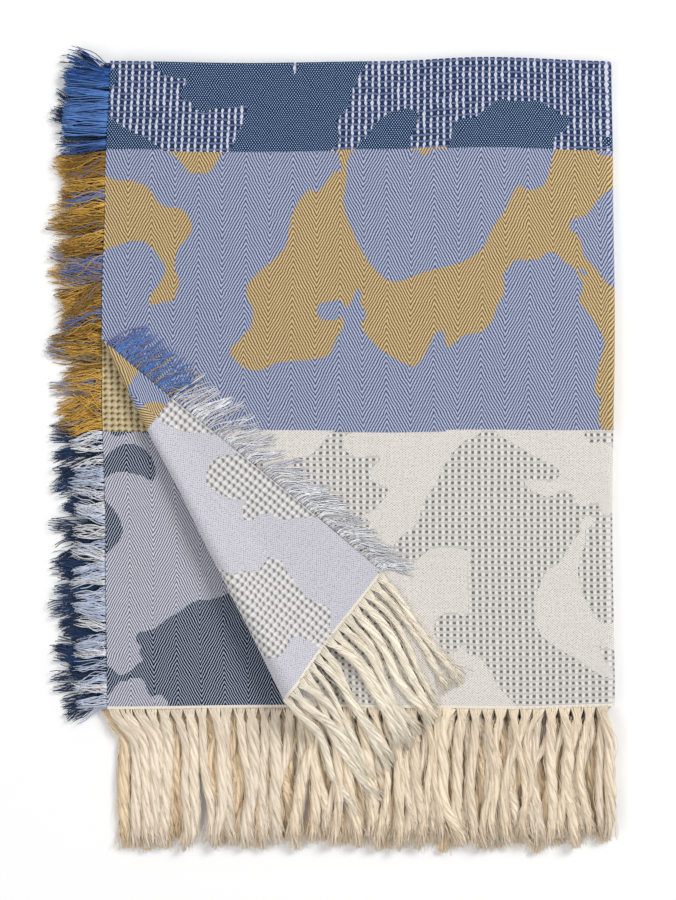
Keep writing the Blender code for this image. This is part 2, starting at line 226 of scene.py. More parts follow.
def lines(start, end, step):
    """Evenly spaced places from the start up to the end, which is left out."""
    return list(np.linspace(start, end, max(2, round((end - start) / step)), endpoint=False))


def place_piece(name, data):
    """A piece of the object from its mesh. It rides on the object's one body."""
    piece = bpy.data.objects.new(name, data)
    bpy.context.scene.collection.objects.link(piece)
    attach(piece, "root")
    return piece


def make_cloth():
    """The sheet: laid out flat, cut along its creases, given its thickness and then folded.

    The flat place of each point is kept as a map for the weave.
    """
    right_end = RIGHT_FOLD_LINE + math.pi * RIGHT_FOLD_RADIUS
    back_end = BACK_FOLD_LINE + math.pi * BACK_FOLD_RADIUS
    u_lines = lines(0, RIGHT_FOLD_LINE, TOP_STEP) + lines(RIGHT_FOLD_LINE, right_end, RIGHT_FOLD_STEP)
    u_lines += lines(right_end, CLOTH_WIDTH, RIGHT_UNDER_STEP) + [CLOTH_WIDTH]
    v_lines = lines(0, BACK_FOLD_LINE, TOP_STEP) + lines(BACK_FOLD_LINE, back_end, BACK_FOLD_STEP)
    v_lines += lines(back_end, CLOTH_LENGTH, BACK_UNDER_STEP) + [CLOTH_LENGTH]
    sheet = bmesh.new()
    across = len(u_lines) - 1
    along = len(v_lines) - 1
    bmesh.ops.create_grid(sheet, x_segments=across, y_segments=along, size=0.5)
    for vert in sheet.verts:
        u = u_lines[round((vert.co.x + 0.5) * across)]
        v = v_lines[round((vert.co.y + 0.5) * along)]
        vert.co = (u, v, -CLOTH_THICKNESS / 2)
    creases = [roll_crease(turned, 0) for turned in np.linspace(0, ROLL_TURN, ROLL_CREASES)]
    slope = np.linspace(0, FLAP_SETTLE_ANGLE, SLOPE_CREASES)[1:]
    creases += [roll_crease(ROLL_TURN, settled) for settled in slope]
    for point, direction in creases:
        bmesh.ops.bisect_plane(
            sheet,
            geom=sheet.verts[:] + sheet.edges[:] + sheet.faces[:],
            dist=CREASE_TOLERANCE,
            plane_co=point,
            plane_no=direction,
        )
    bmesh.ops.triangulate(sheet, faces=[face for face in sheet.faces if len(face.verts) > 4])
    under = sheet.faces[:]
    made = bmesh.ops.extrude_face_region(sheet, geom=under)
    upper = [part for part in made["geom"] if isinstance(part, bmesh.types.BMVert)]
    bmesh.ops.translate(sheet, verts=upper, vec=(0, 0, CLOTH_THICKNESS))
    bmesh.ops.reverse_faces(sheet, faces=under)
    bmesh.ops.recalc_face_normals(sheet, faces=sheet.faces)
    data = bpy.data.meshes.new("throw")
    sheet.to_mesh(data)
    sheet.free()
    flat = np.empty(len(data.vertices) * 3)
    data.vertices.foreach_get("co", flat)
    u, v, w = flat.reshape(-1, 3).T
    corners = np.empty(len(data.loops), dtype=np.int32)
    data.loops.foreach_get("vertex_index", corners)
    weave_map = data.uv_layers.new(name="weave")
    weave_map.data.foreach_set("uv", np.stack((u[corners], v[corners]), axis=-1).ravel())
    for polygon in data.polygons:
        polygon.material_index = int(all(w[index] < 0 for index in polygon.vertices))
    places = lay(u, v, w + ripple(u, v)) - PILE_CENTRE
    data.vertices.foreach_set("co", places.ravel())
    data.shade_smooth()
    data.set_sharp_from_angle(angle=SHARP_ANGLE)
    data.update()
    piece = place_piece("throw", data)
    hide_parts("throw_cloth")
    return piece


throw = make_cloth()

# The weave. Five bands follow each other up the throw, each with a ground and patches in another weave:
# raised square cells, slanting ribs that turn back on themselves in columns, fine staggered dots or plain
# cloth. The patches are soft irregular shapes of the kind common on such throws.


class Value:
    """A varying number, colour or vector of a material, so that sums can be written as sums."""

    def __init__(self, socket):
        self.socket = socket

    def make(self, kind, settings=None, inputs=None, output=0):
        tree = self.socket.id_data
        node = tree.nodes.new(kind)
        for name, setting in (settings or {}).items():
            setattr(node, name, setting)
        for name, value in (inputs or {}).items():
            if isinstance(value, Value):
                tree.links.new(value.socket, node.inputs[name])
            else:
                node.inputs[name].default_value = value
        return Value(node.outputs[output])

    def maths(self, operation, *values):
        return self.make("ShaderNodeMath", {"operation": operation}, dict(enumerate(values)))

    def __add__(self, other):
        return self.maths("ADD", self, other)

    def __radd__(self, other):
        return self.maths("ADD", other, self)

    def __sub__(self, other):
        return self.maths("SUBTRACT", self, other)

    def __rsub__(self, other):
        return self.maths("SUBTRACT", other, self)

    def __mul__(self, other):
        return self.maths("MULTIPLY", self, other)

    def __rmul__(self, other):
        return self.maths("MULTIPLY", other, self)

    def __gt__(self, other):
        return self.maths("GREATER_THAN", self, other)

    def __lt__(self, other):
        return self.maths("LESS_THAN", self, other)

    def cosine(self):
        return self.maths("COSINE", self)

    def between(self, low, high):
        """0 below low, 1 above high and even between them."""
        settings = {"interpolation_type": "SMOOTHSTEP", "clamp": True}
        return self.make("ShaderNodeMapRange", settings, {"Value": self, "From Min": low, "From Max": high})

    def mix(self, low, high):
        """The low colour where this is 0 and the high one where it is 1."""
        return self.make("ShaderNodeMix", {"data_type": "RGBA"}, {0: self, 6: low, 7: high}, output=2)

    def scaled(self, factor):
        """This colour or vector times a number."""
        return self.make("ShaderNodeVectorMath", {"operation": "SCALE"}, {0: self, "Scale": factor})

    def relief(self, strength, distance):
        """The surface direction that this height gives."""
        inputs = {"Height": self, "Strength": strength, "Distance": distance}
        return self.make("ShaderNodeBump", None, inputs)

    def noise(self, scale, detail=1.0, roughness=0.5, distortion=0.0):
        inputs = {
            "Vector": self,
            "Scale": scale,
            "Detail": detail,
            "Roughness": roughness,
            "Distortion": distortion,
        }
        return self.make("ShaderNodeTexNoise", {"noise_dimensions": "3D"}, inputs)


def vector(across, along, third):
    """One vector from a varying number and two more numbers."""
    return across.make("ShaderNodeCombineXYZ", None, {0: across, 1: along, 2: third})


def dye(red, green, blue):
    """A colour as a dyer's card gives it, from 0 to 255, made linear."""
    def linear(part):
        part = part / 255
        return part / 12.92 if part < 0.04045 else ((part + 0.055) / 1.055) ** 2.4

    return (linear(red), linear(green), linear(blue), 1)


CREAM_BAND_END = 0.319
BLUE_BAND_END = 0.644
NAVY_BAND_END = 0.963
GOLD_BAND_END = 1.177
PLAIN_HEADING = 0.0032

CELL_ACROSS = 0.0076
CELL_ALONG = 0.0070
RIB_COLUMN = 0.0272
RIB_SLOPE = 1.9
RIB_PITCH = 0.0065
REVERSE_RIB_PITCH = 0.0057
DOT_ACROSS = 0.0030
DOT_ALONG = 0.0043
THREAD_PITCH = 0.0018
THREAD_WANDER = 0.0030
WANDER_SCALE = 75
SPECK_ACROSS = 0.0034
SPECK_ALONG = 0.0028

# Unevenness of the yarns' tone: streaks along single yarns, and fine grain
GRAIN_SCALE = 420
GRAIN_TONE = 0.30
STREAK_FINENESS = 900
STREAK_LENGTH = 12
STREAK_TONE = 0.18

# Height of each kind of relief as a share of the deepest that the cloth can have
RELIEF_DEPTH = 0.0009
CELL_RELIEF = 0.7
BUMP_RELIEF = 1.6
GOLD_BUMP_RELIEF = 1.2
LINK_RELIEF = 0.7
RIB_RELIEF = 0.16
THREAD_RELIEF = 0.05
GRAIN_RELIEF = 0.12

# The patches: how large and how irregular they are, and the level above which a place belongs to one
PATCH_SCALE = 8.0
PATCH_STRETCH = 0.82
PATCH_PLANE = 15.8
PATCH_ROUGHNESS = 0.42
PATCH_DISTORTION = 0.60
PATCH_LEVEL = 0.475
PATCH_LEVEL_PAST_CREAM = 0.070
PATCH_LEVEL_PAST_BLUE = -0.035

CREAM = dye(226, 221, 215)
CREAM_SPECK = dye(146, 140, 130)
HEADING = dye(232, 224, 210)
RIDGE = dye(196, 192, 187)
RIDGE_LIGHT = dye(224, 221, 218)
# Painted shade: the grey to which the hollow of each cell on the face is darkened
CELL_PAINTED_SHADE = dye(112, 107, 103)
LAVENDER = dye(172, 180, 206)
LAVENDER_DARK = dye(70, 78, 108)
OCHRE = dye(207, 182, 138)
OCHRE_DARK = dye(116, 94, 58)
NAVY = dye(8, 34, 70)
NAVY_DOT = dye(166, 194, 224)
NAVY_CELL = dye(32, 48, 82)
NAVY_BAR = dye(104, 116, 154)
CHAIN = dye(204, 208, 222)
PALE = dye(207, 206, 213)
PALE_SPECK = dye(130, 128, 142)
# Raised cells of the reverse: the darker colour is painted shade, for each cell's hollow and one side of it
BUMPY_LIGHT = dye(232, 230, 229)
BUMP_PAINTED_SHADE = dye(140, 136, 136)
# The darker gold is painted shade, for the hollow and one side of each raised cell on the reverse
GOLD_LIGHT = dye(212, 196, 158)
GOLD_PAINTED_SHADE = dye(110, 88, 46)
SLATE = dye(18, 28, 44)
SLATE_LIGHT = dye(166, 176, 194)
MIST = dye(202, 204, 216)
MIST_DARK = dye(100, 101, 112)


def new_material(name, roughness=0.9, sheen=0.08):
    """A matt cloth material, and the shader in it."""
    material = bpy.data.materials.new(name)
    material.use_nodes = True
    shader = material.node_tree.nodes["Principled BSDF"]
    shader.inputs["Roughness"].default_value = roughness
    shader.inputs["Specular IOR Level"].default_value = 0.12
    shader.inputs["Sheen Weight"].default_value = sheen
    shader.inputs["Sheen Roughness"].default_value = 0.5
    return material, shader


def weave_material(name, reverse):
    """One face of the double weave, read from the flat map."""
    material, shader = new_material(name)
    tree = material.node_tree
    map_node = tree.nodes.new("ShaderNodeUVMap")
    map_node.uv_map = "weave"
    place = Value(map_node.outputs[0])
    u = place.make("ShaderNodeSeparateXYZ", None, {0: place})
    v = Value(u.socket.node.outputs[1])

    # Hand-loomed threads wander a little from their true places
    drift = place.noise(WANDER_SCALE)
    cross_drift = vector(u + 5.0, v, 1.0).noise(WANDER_SCALE)
    u_loose = u + (drift - 0.5) * THREAD_WANDER
    v_loose = v + (cross_drift - 0.5) * THREAD_WANDER

    # Patches: smooth shapes stepped at the size of the threads that form their edges
    u_step = u.maths("SNAP", u, THREAD_PITCH)
    v_step = v.maths("SNAP", v, THREAD_PITCH)
    stepped = vector(u_step, v_step * PATCH_STRETCH, PATCH_PLANE)
    shapes = stepped.noise(PATCH_SCALE, 2.0, PATCH_ROUGHNESS, PATCH_DISTORTION)
    level = PATCH_LEVEL + PATCH_LEVEL_PAST_CREAM * (v > CREAM_BAND_END)
    patch = shapes > level + PATCH_LEVEL_PAST_BLUE * (v > BLUE_BAND_END)

    # Slanting ribs in columns, each rib a row of short floats
    column = u.maths("PINGPONG", u_loose + 0.0009 * (v * 31).cosine(), RIB_COLUMN)
    floats = (u_loose * (math.tau / THREAD_PITCH)).cosine()
    pitch = REVERSE_RIB_PITCH if reverse else RIB_PITCH
    rib = ((v_loose + RIB_SLOPE * column) * (math.tau / pitch)).cosine() + floats * 0.20
    rib_light = rib.between(-0.45, 0.15)
    thin_light = rib.between(0.10, 0.75)

    # Square cells: a hollow with ridges round it, or a bump; hollows and one side of each bump in painted
    # shade
    cell_u = (u_loose * (math.tau / CELL_ACROSS)).cosine()
    cell_v = (v_loose * (math.tau / CELL_ALONG)).cosine()
    hollow = cell_u.maths("MINIMUM", cell_u, cell_v).between(-0.05, 0.75)
    bumps = (cell_u + cell_v) * 0.5
    # Painted shade: the colour of each bump is darkened in its hollow and more so on one side
    slope_u = (u_loose * (math.tau / CELL_ACROSS) - math.pi / 2).cosine()
    slope_v = (v_loose * (math.tau / CELL_ALONG) - math.pi / 2).cosine()
    shaded = (slope_u + slope_v).between(-1.30, 0.60)
    bump_painted_light = 1 - (1 - bumps.between(-1.15, 0.70)) * (0.30 + shaded)
    knot = (0 - cell_u).between(-0.10, 0.55) * cell_v.between(-0.75, 0.10)

    # Staggered dots and fine plain threads
    dots = (u_loose * (math.tau / DOT_ACROSS)).cosine() * (v_loose * (math.tau / DOT_ALONG)).cosine()
    dots = dots.between(0.24, 0.80)
    threads = (u_loose * (math.tau / SPECK_ACROSS)).cosine() * (v_loose * (math.tau / SPECK_ALONG)).cosine()
    grain = place.noise(GRAIN_SCALE, detail=2.0)
    specks = (threads * 0.6 + (grain - 0.5) * 1.8).between(-0.10, 0.80)

    if reverse:
        cream = patch.mix(specks.mix(PALE, PALE_SPECK), bump_painted_light.mix(BUMP_PAINTED_SHADE, BUMPY_LIGHT))
        cream_height = patch * bumps * BUMP_RELIEF
        blue = patch.mix(rib_light.mix(OCHRE_DARK, OCHRE), rib_light.mix(LAVENDER_DARK, LAVENDER))
        navy = patch.mix(rib_light.mix(MIST_DARK, MIST), hollow.mix(NAVY_BAR, NAVY_CELL))
        gold = bump_painted_light.mix(GOLD_PAINTED_SHADE, GOLD_LIGHT)
        slate = patch.mix(rib_light.mix(MIST_DARK, MIST), thin_light.mix(SLATE, SLATE_LIGHT))
    else:
        ridges = knot.mix(RIDGE, RIDGE_LIGHT)
        cream = patch.mix(specks.mix(CREAM, CREAM_SPECK), hollow.mix(ridges, CELL_PAINTED_SHADE))
        cream_height = patch * (1 - hollow) * CELL_RELIEF
        blue = patch.mix(rib_light.mix(LAVENDER_DARK, LAVENDER), rib_light.mix(OCHRE_DARK, OCHRE))
        links = (0 - cell_u + cell_v * 0.42 + (drift - 0.5) * 1.4).between(0.36, 0.82)
        bars = (0 - cell_v + (grain - 0.5) * 1.2).between(0.30, 0.90)
        navy = patch.mix(dots.mix(NAVY, NAVY_DOT), links.mix(bars.mix(NAVY_CELL, NAVY_BAR), CHAIN))
        gold = rib_light.mix(OCHRE_DARK, GOLD_LIGHT)
        slate = dots.mix(NAVY, NAVY_DOT)

    wander = 0.0012 * (u * 19).cosine()
    past_cream = (v_step + wander) > CREAM_BAND_END
    past_blue = (v_step - wander) > BLUE_BAND_END
    past_navy = (v_step + wander) > NAVY_BAND_END
    past_gold = (v_step - wander) > GOLD_BAND_END
    heading = (v < PLAIN_HEADING) + (v > CLOTH_LENGTH - PLAIN_HEADING)
    colour = past_gold.mix(past_navy.mix(past_blue.mix(past_cream.mix(cream, blue), navy), gold), slate)
    colour = heading.mix(colour, HEADING)

    # Yarns differ a little from each other, in streaks both ways
    streaks = vector(u * STREAK_FINENESS, v * STREAK_LENGTH, 0.0).noise(1.0)
    streaks = streaks + vector(u * STREAK_LENGTH, v * STREAK_FINENESS, 5.0).noise(1.0)
    tone = 1.0 + (streaks - 1.0) * STREAK_TONE + (grain - 0.5) * GRAIN_TONE
    tree.links.new(colour.scaled(tone).socket, shader.inputs["Base Color"])

    height = cream_height * (1 - past_cream) + rib * RIB_RELIEF * past_cream
    height = height + threads * THREAD_RELIEF + grain * GRAIN_RELIEF
    if reverse:
        height = height + past_navy * (1 - past_gold) * bumps * GOLD_BUMP_RELIEF
    else:
        height = height + past_blue * patch * links * LINK_RELIEF
    tree.links.new(height.relief(1.0, RELIEF_DEPTH).socket, shader.inputs["Normal"])
    return material


throw.data.materials.append(weave_material("Woven face", reverse=False))
throw.data.materials.append(weave_material("Woven reverse", reverse=True))

# The yarns of all four fringes. Each runs out of the cloth's edge, gathers with its neighbours and comes down
# to rest on what lies under it. They are swept along arrays of middle points, three-sided when they are fine.

STRIP_WIDTH = 0.0058
ROOT_DEPTH = 0.0012
END_DROP = 0.060
SIDE_DROP = 0.042
REST_HEIGHTS = {"top": 0.0099, "second": 0.0070, "third": 0.0041, "bottom": 0.0012}
END_CORNER_REACH = 0.100
END_CORNER_SHIFT = 0.025
END_CORNER_SHARE = 0.25
SIDE_CORNER_REACH = 0.045
SIDE_CORNER_LEAN = 0.45
BACK_LEAN_SHARE = 0.45
FLAP_END_SWING = -0.34
FLAP_SIDE_SWING = -1.25
FLAP_SIDE_SWING_START = 0.45
FLAP_SIDE_SWING_SPAN = 0.30
LAID_DOWN_SHARE = 0.55
# Share of the roll next to the turned corner along which the edge still carries yarns
ROLL_FRINGE_SHARE = 0.45
# How soon along its length a yarn has its whole swing, lean, gather and loft
SWING_RATE = 2.2
LEAN_RATE = 2
GATHER_RATE = 1.4
LOFT_RATE = 3
# Half turns of a yarn's two bends and of its fine waves
BEND_HALF_TURNS = (1.3, 2)
WAVE_HALF_TURNS = 3.4
FIBRE_FINENESS = (900, 900, 90)
FIBRE_RELIEF = 0.8
FIBRE_DEPTH = 0.0006


def on_edge(edge, along, out):
    """Flat places this far along the edge and this far out from it."""
    zero = np.zeros_like(along)
    return {
        "front": (along, zero - out),
        "back": (along, CLOTH_LENGTH + out + zero),
        "left": (zero - out, along),
        "right": (CLOTH_WIDTH + out + zero, along),
    }[edge]


def over_cloth(places):
    """Height at which a yarn of the turned corner lies on the cloth and on the locks beyond its edge."""
    beyond = eased((-places[..., 1] - STRIP_WIDTH) / END_DROP)
    ground = TOP_LAYER_HEIGHT + wave(places[..., 0], places[..., 1])
    return ground + (REST_HEIGHTS["top"] - ground) * beyond + FLAP_REST


def yarn_paths(edge, layer, yarns, shares):
    """Middle points of yarns from their places along the edge: an array of yarns by steps by three."""
    along = yarns["along"]
    level = np.zeros_like(along)
    root = lay(*on_edge(edge, along, -ROOT_DEPTH), level)
    ahead = lay(*on_edge(edge, along, ROOT_DEPTH), level) - root
    is_end = edge in ("front", "back")
    if layer == "corner":
        heading = np.arctan2(ahead[:, 1], ahead[:, 0])
        swung = np.clip((FLAP_SIDE_SWING_START - root[:, 1]) / FLAP_SIDE_SWING_SPAN, 0, 1)
        swing = level + FLAP_END_SWING if is_end else FLAP_SIDE_SWING * swung
    else:
        heading = level + (-math.pi / 2 if is_end else math.pi)
        swing = level
        if not is_end:
            front = eased((SIDE_CORNER_REACH - root[:, 1]) / SIDE_CORNER_REACH)
            back = eased((root[:, 1] - BACK_FOLD_LINE + SIDE_CORNER_REACH) / SIDE_CORNER_REACH)
            swing = swing + SIDE_CORNER_LEAN * (front - BACK_LEAN_SHARE * back * back)
    angle = heading[:, None] + swing[:, None] * eased(SWING_RATE * shares)
    angle = angle + yarns["lean"][:, None] * eased(LEAN_RATE * shares)
    for bend, half_turns in enumerate(BEND_HALF_TURNS):
        angle = angle + yarns["curl"][:, bend, None] * np.sin(math.pi * half_turns * shares)
    phase = yarns["phase"][:, None]
    angle = angle + yarns["wave"][:, None] * np.sin(WAVE_HALF_TURNS * math.pi * shares + phase)
    step = yarns["length"][:, None] * np.diff(shares, prepend=0)
    moves = np.stack((np.cos(angle) * step, np.sin(angle) * step, np.zeros_like(angle)), axis=-1)
    places = root[:, None] + np.cumsum(moves, axis=1)
    side = lay(*on_edge(edge, along + 0.001, 0.0), level)
    side = side - lay(*on_edge(edge, along - 0.001, 0.0), level)
    side = side / np.linalg.norm(side, axis=-1, keepdims=True) * np.array((1, 1, 0))
    places = places + side[:, None] * (yarns["gather"][:, None] * eased(GATHER_RATE * shares))[..., None]
    if layer == "corner":
        floor = over_cloth(places) - CLOTH_THICKNESS
        lift = root[:, 2] - floor[:, 0]
        height = floor + lift[:, None] * (1 - eased(shares / LAID_DOWN_SHARE))
    else:
        if is_end:
            shift = END_CORNER_SHIFT * eased((END_CORNER_REACH - root[:, 0]) / END_CORNER_REACH)
            places[..., 0] += shift[:, None] * eased(shares / END_CORNER_SHARE)
        fall = eased(shares * yarns["length"][:, None] / (END_DROP if is_end else SIDE_DROP))
        height = root[:, 2:3] + (REST_HEIGHTS[layer] - root[:, 2:3]) * fall
    places[..., 2] = height + yarns["loft"][:, None] * eased(shares * LOFT_RATE)
    return places


def directions(paths):
    """Level and upright directions square to each step of these paths, and the way that they run."""
    forward = np.gradient(paths, axis=1)
    forward = forward / (np.linalg.norm(forward, axis=-1, keepdims=True) + 1e-9)
    side = np.cross(forward, (0.0, 0.0, 1.0))
    side = side / (np.linalg.norm(side, axis=-1, keepdims=True) + 1e-9)
    return side, np.cross(side, forward), forward


def sweep(paths, wide, tall, tints, sides=3, twist=0.0):
    """Closed tubes along these paths: points, faces, tints and the place of each point in its own yarn."""
    count, steps, _ = paths.shape
    paths = paths.copy()
    paths[..., 2] = np.maximum(paths[..., 2], tall + 0.0001)
    side, over, _ = directions(paths)
    run = np.cumsum(np.linalg.norm(np.diff(paths, axis=1, prepend=paths[:, :1]), axis=-1), axis=1)
    rings = []
    own_places = []
    for turn in math.pi / 2 + math.tau * np.arange(sides) / sides:
        aside = side * (wide * math.cos(turn))[..., None]
        rings.append(paths + aside + over * (tall * math.sin(turn))[..., None])
        wound = turn - twist * run
        own_places.append(np.stack((wide * np.cos(wound), wide * np.sin(wound), run), axis=-1))
    points = np.stack(rings, axis=2).reshape(-1, 3) - PILE_CENTRE
    own = np.stack(own_places, axis=2)
    own[..., 2] += 0.37 * np.arange(count)[:, None, None]
    first = np.arange(count)[:, None] * steps * sides
    ring = first + np.arange(steps - 1)[None] * sides
    quads = []
    for corner in range(sides):
        after = (corner + 1) % sides
        around = (ring + corner, ring + after, ring + after + sides, ring + corner + sides)
        quads.append(np.stack(around, axis=-1))
    quads = np.concatenate([quad.reshape(-1, 4) for quad in quads]).tolist()
    around = np.arange(sides)
    last = first + (steps - 1) * sides
    caps = (first + around[::-1]).tolist() + (last + around).tolist()
    return points, quads + caps, np.repeat(tints, steps * sides, axis=0), own.reshape(-1, 3)


def make_mesh(name, points, faces):
    """A smooth piece from its points and faces."""
    data = bpy.data.meshes.new(name)
    data.from_pydata(points, [], faces)
    data.polygons.foreach_set("use_smooth", [True] * len(data.polygons))
    data.update()
    return place_piece(name, data)


def make_yarns(name, parts):
    """One mesh of all these tubes, with the tint and the own place of each point."""
    points = []
    faces = []
    for part in parts:
        offset = sum(len(group) for group in points)
        points.append(part[0])
        faces += [[index + offset for index in face] for face in part[1]]
    piece = make_mesh(name, np.concatenate(points).tolist(), faces)
    tints = np.concatenate([part[2] for part in parts])
    tint = piece.data.color_attributes.new("tint", "FLOAT_COLOR", "POINT")
    tint.data.foreach_set("color", np.concatenate((tints, np.ones((len(tints), 1))), axis=1).ravel())
    own = piece.data.attributes.new("own_place", "FLOAT_VECTOR", "POINT")
    own.data.foreach_set("vector", np.concatenate([part[3] for part in parts]).ravel())
    return piece


def yarn_material(name, contrast):
    """Soft spun yarn in its own tint, with fine fibres along it."""
    material, shader = new_material(name, roughness=0.85, sheen=0.15)
    tree = material.node_tree
    tint_node = tree.nodes.new("ShaderNodeAttribute")
    tint_node.attribute_name = "tint"
    tint = Value(tint_node.outputs["Color"])
    own_node = tree.nodes.new("ShaderNodeAttribute")
    own_node.attribute_name = "own_place"
    own = Value(own_node.outputs["Vector"])
    stretched = own.make("ShaderNodeVectorMath", {"operation": "MULTIPLY"}, {0: own, 1: FIBRE_FINENESS})
    fibre = stretched.noise(1.0, detail=2.0)
    place = Value(tree.nodes.new("ShaderNodeTexCoord").outputs["Object"])
    shade = place.noise(60, detail=1.0)
    tone = 1.0 + (fibre - 0.5) * contrast + (shade - 0.5) * 0.2
    tree.links.new(tint.scaled(tone).socket, shader.inputs["Base Color"])
    tree.links.new(fibre.relief(FIBRE_RELIEF, FIBRE_DEPTH).socket, shader.inputs["Normal"])
    return material


def roll_span(edge):
    """Where along the edge the roll starts and ends."""
    ends = []
    for turned in (0, ROLL_TURN):
        point, across = roll_crease(turned, 0)
        if edge == "front":
            ends.append(point.x + point.y * across.y / across.x)
        else:
            ends.append(point.y + point.x * across.x / across.y)
    return min(ends), max(ends)


def stretches(edge):
    """The runs of an edge that carry yarns, each with the layer that it belongs to."""
    is_end = edge in ("front", "back")
    line, radius = (RIGHT_FOLD_LINE, RIGHT_FOLD_RADIUS) if is_end else (BACK_FOLD_LINE, BACK_FOLD_RADIUS)
    span = CLOTH_WIDTH if is_end else CLOTH_LENGTH
    layers = {
        "front": ("top", "bottom"),
        "back": ("second", "third"),
        "left": ("top", "second"),
        "right": ("bottom", "third"),
    }[edge]
    runs = [(layers[0], 0.0, line), (layers[1], line + math.pi * radius, span)]
    if edge in ("front", "left"):
        start, end = roll_span(edge)
        runs = [("corner", 0.0, start + (end - start) * ROLL_FRINGE_SHARE), (layers[0], end, line), runs[1]]
    return runs


# Side fringe. The ends of the crosswise yarns, a finger's length, left loose along both long edges and frayed
# into small tufts. Each tuft takes the colours of the band that it comes from, the lower layers darker ones.

ROYAL = dye(96, 144, 212)
ROYAL_DARK = dye(40, 88, 160)
INK = dye(20, 52, 92)
TEAL = dye(16, 62, 110)
DUSK_BLUE = dye(124, 138, 188)
AMBER = dye(230, 184, 82)
AMBER_DARK = dye(166, 124, 44)
SILVER = dye(242, 243, 246)
LILAC = dye(206, 216, 238)
ASH = dye(178, 178, 194)
PEWTER = dye(216, 215, 224)
# Colours of the tufts up the pile; on the turned corner they follow the cloth
SIDE_BANDS = (
    {
        "end": CREAM_BAND_END,
        "corner": (SILVER, PEWTER, SILVER),
        "top": (SILVER, SILVER, LILAC),
        "second": (LILAC, SILVER, LILAC),
        "low": (INK, TEAL, INK),
    },
    {
        "end": BLUE_BAND_END,
        "corner": (ROYAL, DUSK_BLUE, AMBER),
        "top": (AMBER, AMBER_DARK, DUSK_BLUE),
        "second": (AMBER, AMBER_DARK, ASH),
        "low": (AMBER_DARK, AMBER, ASH),
    },
    {
        "end": CLOTH_LENGTH,
        "corner": (ROYAL, ROYAL_DARK, ROYAL),
        "top": (ROYAL, ROYAL_DARK, ROYAL),
        "second": (ROYAL_DARK, TEAL, INK),
        "low": (TEAL, INK, TEAL),
    },
)
# Length of the yarns, spacing of the tufts, shortest tuft and how many of its yarns are of one colour
SIDE_LAYERS = {
    "corner": {"length": 0.057, "pitch": 0.0105, "shortest": 0.80, "alike": 0.35},
    "top": {"length": 0.057, "pitch": 0.0150, "shortest": 0.80, "alike": 0.75},
    "second": {"length": 0.060, "pitch": 0.0140, "shortest": 0.80, "alike": 0.75},
    "third": {"length": 0.066, "pitch": 0.0180, "shortest": 0.60, "alike": 0.75},
    "bottom": {"length": 0.064, "pitch": 0.0180, "shortest": 0.60, "alike": 0.75},
}
SIDE_SHARES = np.linspace(0, 1, 9)
SIDE_YARN_PITCH = 0.00068
BARE_END = 0.002
# Chances from which a tuft takes its second and third colours
SECOND_COLOUR_FROM = 0.45
THIRD_COLOUR_FROM = 0.84
# Darkest and lightest that a yarn is beside its dye
SIDE_SHADES = (0.80, 1.08)
# How far the tufts and their yarns stray from straight, in radians
TUFT_LEAN = 0.24
YARN_LEAN = 0.09
YARN_CURL = 0.18
YARN_WAVE = 0.10
# Shortest yarn of a tuft, heights above what it lies on, radii, and how much thinner a yarn's tip is
SHORTEST_YARN = 0.76
YARN_LOFTS = (-0.0008, 0.0030)
YARN_RADII = (0.00046, 0.00070)
YARN_TAPER = 0.35
TAPER_START = 0.8
TAPER_SPAN = 0.2
# How far the yarns of a tuft draw together, and how much closer they are near the front of the pile
TUFT_GATHER = 0.82
LEAST_GATHER = 0.6
FRONT_GATHER = 0.13
FRONT_GATHER_FROM = 0.34
FRONT_GATHER_SPAN = 0.08
# On the turned corner yarns stray less, and past the cream band a little more
CORNER_STRAY = 0.6
CORNER_STRAY_PAST_CREAM = 0.5
# At the back of the top layer the yarns are even, straighter and thicker; further on they droop to the front
NEAT_SHORTEST = 0.90
NEAT_CALM = 0.55
NEAT_SWELL = 0.35
DROOP = 0.50
DROOP_FROM = 0.66
DROOP_SPAN = 0.16
# Yarns of the second layer are this much shorter at the front
SECOND_CUT = 0.20
SECOND_CUT_FROM = 0.30
SECOND_CUT_SPAN = 0.25


def side_tints(layer, place, tuft, chance):
    """Colours of these yarns by their band, mostly one to a tuft."""
    tuft_pick = chance.random(int(tuft.max()) + 1)[tuft]
    alike = chance.random(len(place)) < SIDE_LAYERS[layer]["alike"]
    pick = np.where(alike, tuft_pick, chance.random(len(place)))
    choice = (pick > SECOND_COLOUR_FROM).astype(int) + (pick > THIRD_COLOUR_FROM)
    group = "low" if layer in ("third", "bottom") else layer
    tints = np.zeros((len(place), 3))
    start = -1.0
    for band in SIDE_BANDS:
        inside = (place >= start) & (place < band["end"])
        start = band["end"]
        tints[inside] = np.array([colour[:3] for colour in band[group]])[choice[inside]]
    return tints * chance.uniform(*SIDE_SHADES, (len(place), 1))


